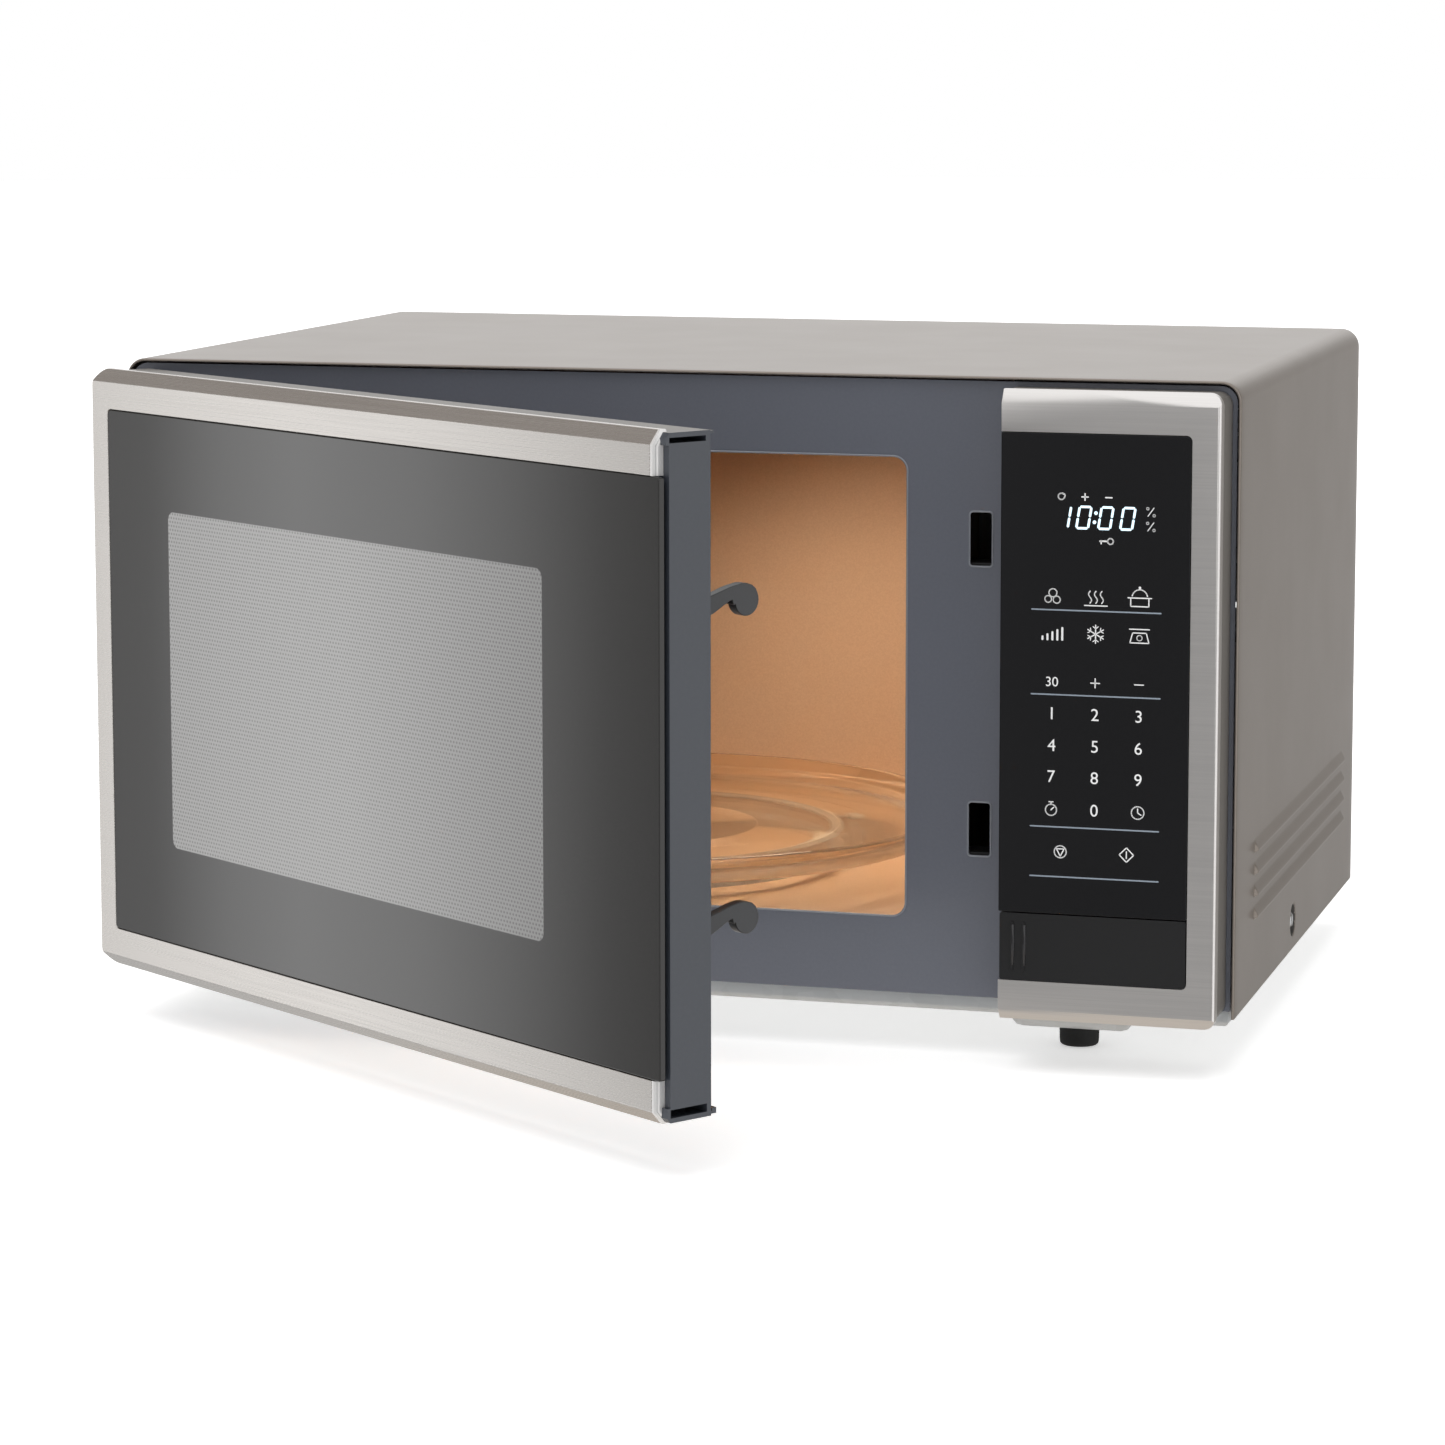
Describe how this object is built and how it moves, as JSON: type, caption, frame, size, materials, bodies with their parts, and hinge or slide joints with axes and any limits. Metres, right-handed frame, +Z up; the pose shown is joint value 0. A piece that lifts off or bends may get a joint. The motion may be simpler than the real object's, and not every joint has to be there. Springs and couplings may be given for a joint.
{
  "type": "microwave oven",
  "caption": "Countertop microwave oven: side-hinged glass door with latch hooks, touch panel with rocking release button, glass turntable on a roller ring, fan and power parts inside.",
  "frame": {"origin": "on the table plane under the middle of the oven's box, with the door ajar at 34.5 degrees as stored", "axes": "+X to the right of a person facing the front, +Y from the front to the back, +Z up"},
  "size_m": [0.5356, 0.6116, 0.3068],
  "materials": {
    "cabinet_paint": "brown-grey metallic satin paint",
    "plate_paint": "blue-grey gloss enamel",
    "cavity_enamel": "tan satin enamel",
    "brushed_trim": "horizontally brushed",
    "panel_glass": "black gloss with white printed marks",
    "door_glass": "dark tinted glass with a lighter window",
    "tray_glass": "clear",
    "window_film": "clear film",
    "panel_plastic": "brown-grey satin",
    "door_plastic": "dark grey satin",
    "black_plastic": "satin black",
    "white_plastic": "natural white",
    "foot_rubber": "matt black",
    "galvanised_steel": "galvanised sheet",
    "bright_steel": "zinc plated",
    "screen_steel": "dark grey enamel, finely perforated window",
    "core_steel": "varnished laminations",
    "copper_wire": "enamelled copper winding",
    "aluminium": "satin",
    "circuit_board": "solder-masked board",
    "mica": "pressed mica"
  },
  "bodies": {
    "cabinet": {"air_duct": "black_plastic", "base_plate": "galvanised_steel", "cavity_box": "cavity_enamel", "control_board": "circuit_board", "control_glass": "panel_glass", "control_housing": "panel_plastic", "control_trim": "brushed_trim", "cord_gland": "black_plastic", "display_module": "black_plastic", "fan_housing": "black_plastic", "fan_motor": "core_steel", "foot_back_left": "foot_rubber", "foot_back_right": "foot_rubber", "foot_front_left": "foot_rubber", "foot_front_right": "foot_rubber", "front_plate": "plate_paint", "hv_capacitor": "aluminium", "hv_diode": "black_plastic", "lamp_bulb": "tray_glass", "lamp_socket": "white_plastic", "latch_board": "white_plastic", "lower_hinge": "bright_steel", "magnetron_core": "aluminium", "magnetron_yoke": "galvanised_steel", "mica_cover": "mica", "monitor_switch": "black_plastic", "noise_filter_board": "circuit_board", "outer_cabinet": "cabinet_paint", "primary_switch": "black_plastic", "rear_panel": "galvanised_steel", "rear_screw_1": "bright_steel", "rear_screw_2": "bright_steel", "rear_screw_3": "bright_steel", "rear_screw_4": "bright_steel", "secondary_switch": "black_plastic", "side_screw_left": "bright_steel", "side_screw_right": "bright_steel", "thermal_cutout": "black_plastic", "transformer_core": "core_steel", "transformer_windings": "copper_wire", "turntable_motor": "bright_steel", "upper_hinge": "bright_steel", "waveguide": "galvanised_steel"},
    "door": {"door_trim": "brushed_trim", "door_glass": "door_glass", "door_frame": "door_plastic", "door_screen": "screen_steel", "choke_cover": "door_plastic", "door_inner_window": "window_film", "latch_spring": "bright_steel"},
    "latch": {"latch_hooks": "black_plastic"},
    "button": {"release_button": "black_plastic"},
    "lever": {"release_lever": "white_plastic"},
    "turntable": {"turntable_coupler": "white_plastic"},
    "tray": {"glass_tray": "tray_glass"},
    "ring": {"roller_ring": "white_plastic"},
    "wheel_1": {"roller_wheel_1": "white_plastic"},
    "wheel_2": {"roller_wheel_2": "white_plastic"},
    "wheel_3": {"roller_wheel_3": "white_plastic"},
    "fan": {"fan_impeller": "black_plastic"}
  },
  "joints": [
    {"name": "door_hinge", "type": "hinge", "parent": "cabinet", "child": "door", "pos_m": [-0.252, -0.0554, 0.1635], "axis": [0, 0, -1], "range_deg": [-34.5, 65.5]},
    {"name": "latch_lift", "type": "slide", "parent": "door", "child": "latch", "axis": [0, 0, 1], "range_m": [0, 0.006], "stiffness_N_per_m": 300, "springref_m": -0.004, "deforming": ["latch_spring"]},
    {"name": "release_press", "type": "hinge", "parent": "cabinet", "child": "button", "pos_m": [0.2468, -0.0672, 0.057], "axis": [0, 0, -1], "range_deg": [0, 5], "stiffness_Nm_per_rad": 4, "springref_deg": -2.86},
    {"name": "release_lever_turn", "type": "hinge", "parent": "cabinet", "child": "lever", "pos_m": [0.1933, -0.0201, 0.078], "axis": [0, 1, 0], "range_deg": [0, 7.5]},
    {"name": "turntable_spin", "type": "hinge", "parent": "cabinet", "child": "turntable", "pos_m": [-0.0627, 0.1228, 0.05], "axis": [0, 0, 1], "continuous": true},
    {"name": "tray_lift", "type": "slide", "parent": "turntable", "child": "tray", "axis": [0, 0, 1], "range_m": [0, 0.04]},
    {"name": "ring_spin", "type": "hinge", "parent": "cabinet", "child": "ring", "pos_m": [-0.0627, 0.1228, 0.05555], "axis": [0, 0, 1], "continuous": true},
    {"name": "wheel_1_spin", "type": "hinge", "parent": "ring", "child": "wheel_1", "pos_m": [0.03343, 0.1783, 0.05555], "axis": [0.866, 0.5, 0], "continuous": true},
    {"name": "wheel_2_spin", "type": "hinge", "parent": "ring", "child": "wheel_2", "pos_m": [-0.15883, 0.1783, 0.05555], "axis": [-0.866, 0.5, 0], "continuous": true},
    {"name": "wheel_3_spin", "type": "hinge", "parent": "ring", "child": "wheel_3", "pos_m": [-0.0627, 0.0118, 0.05555], "axis": [0, -1, 0], "continuous": true},
    {"name": "fan_spin", "type": "hinge", "parent": "cabinet", "child": "fan", "pos_m": [0.1983, 0.2838, 0.205], "axis": [0, 1, 0], "continuous": true}
  ],
  "couplings": [
    {"joint": "release_lever_turn", "follows": "release_press", "ratio": 1.5},
    {"joint": "ring_spin", "follows": "turntable_spin", "ratio": 0.5},
    {"joint": "wheel_1_spin", "follows": "turntable_spin", "ratio": -7.5},
    {"joint": "wheel_2_spin", "follows": "turntable_spin", "ratio": -7.5},
    {"joint": "wheel_3_spin", "follows": "turntable_spin", "ratio": -7.5}
  ]
}
